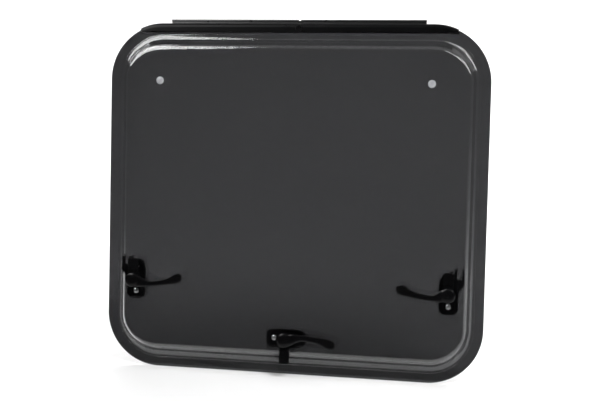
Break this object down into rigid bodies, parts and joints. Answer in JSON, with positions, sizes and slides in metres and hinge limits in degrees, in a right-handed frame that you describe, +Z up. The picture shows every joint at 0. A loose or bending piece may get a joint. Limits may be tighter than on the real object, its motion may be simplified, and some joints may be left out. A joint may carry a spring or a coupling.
{
  "type": "top-hung caravan window sash",
  "caption": "Top-hung double acrylic window sash for a caravan, with a black hinge strip, three quarter-turn lever latches and two forked stay brackets.",
  "frame": {"origin": "middle of the hinge lip's flat outer face", "axes": "+X to the right as seen from inside the vehicle, +Y outwards, +Z up"},
  "size_m": [0.55, 0.0497, 0.5072],
  "materials": {
    "smoked_acrylic": "gloss",
    "clear_acrylic": "gloss",
    "strip_black": "satin",
    "moulded_black": "satin",
    "screw_steel": "satin",
    "plug_white": "satin"
  },
  "bodies": {
    "sash": {"outer_pane": "smoked_acrylic", "inner_pane": "clear_acrylic", "hinge_strip": "strip_black", "hinge_lip": "strip_black", "hinge_lock_screw": "strip_black", "left_vent_plug": "plug_white", "right_vent_plug": "plug_white", "left_handle_base": "moulded_black", "left_upper_screw": "screw_steel", "left_lower_screw": "screw_steel", "left_stay_bracket": "moulded_black", "right_handle_base": "moulded_black", "right_upper_screw": "screw_steel", "right_lower_screw": "screw_steel", "right_stay_bracket": "moulded_black", "bottom_handle_base": "moulded_black", "bottom_outer_screw": "screw_steel", "bottom_inner_screw": "screw_steel"},
    "left_latch": {"left_tongue": "moulded_black", "left_lever": "moulded_black"},
    "right_latch": {"right_tongue": "moulded_black", "right_lever": "moulded_black"},
    "bottom_latch": {"bottom_tongue": "moulded_black", "bottom_lever": "moulded_black"}
  },
  "joints": [
    {"name": "left_latch_turn", "type": "hinge", "parent": "sash", "child": "left_latch", "pos_m": [-0.225, -0.0275, -0.3723], "axis": [0, -1, 0], "range_deg": [0, 90]},
    {"name": "right_latch_turn", "type": "hinge", "parent": "sash", "child": "right_latch", "pos_m": [0.2267, -0.0275, -0.373], "axis": [0, 1, 0], "range_deg": [0, 90]},
    {"name": "bottom_latch_turn", "type": "hinge", "parent": "sash", "child": "bottom_latch", "pos_m": [0, -0.0275, -0.4475], "axis": [0, -1, 0], "range_deg": [0, 90]}
  ]
}
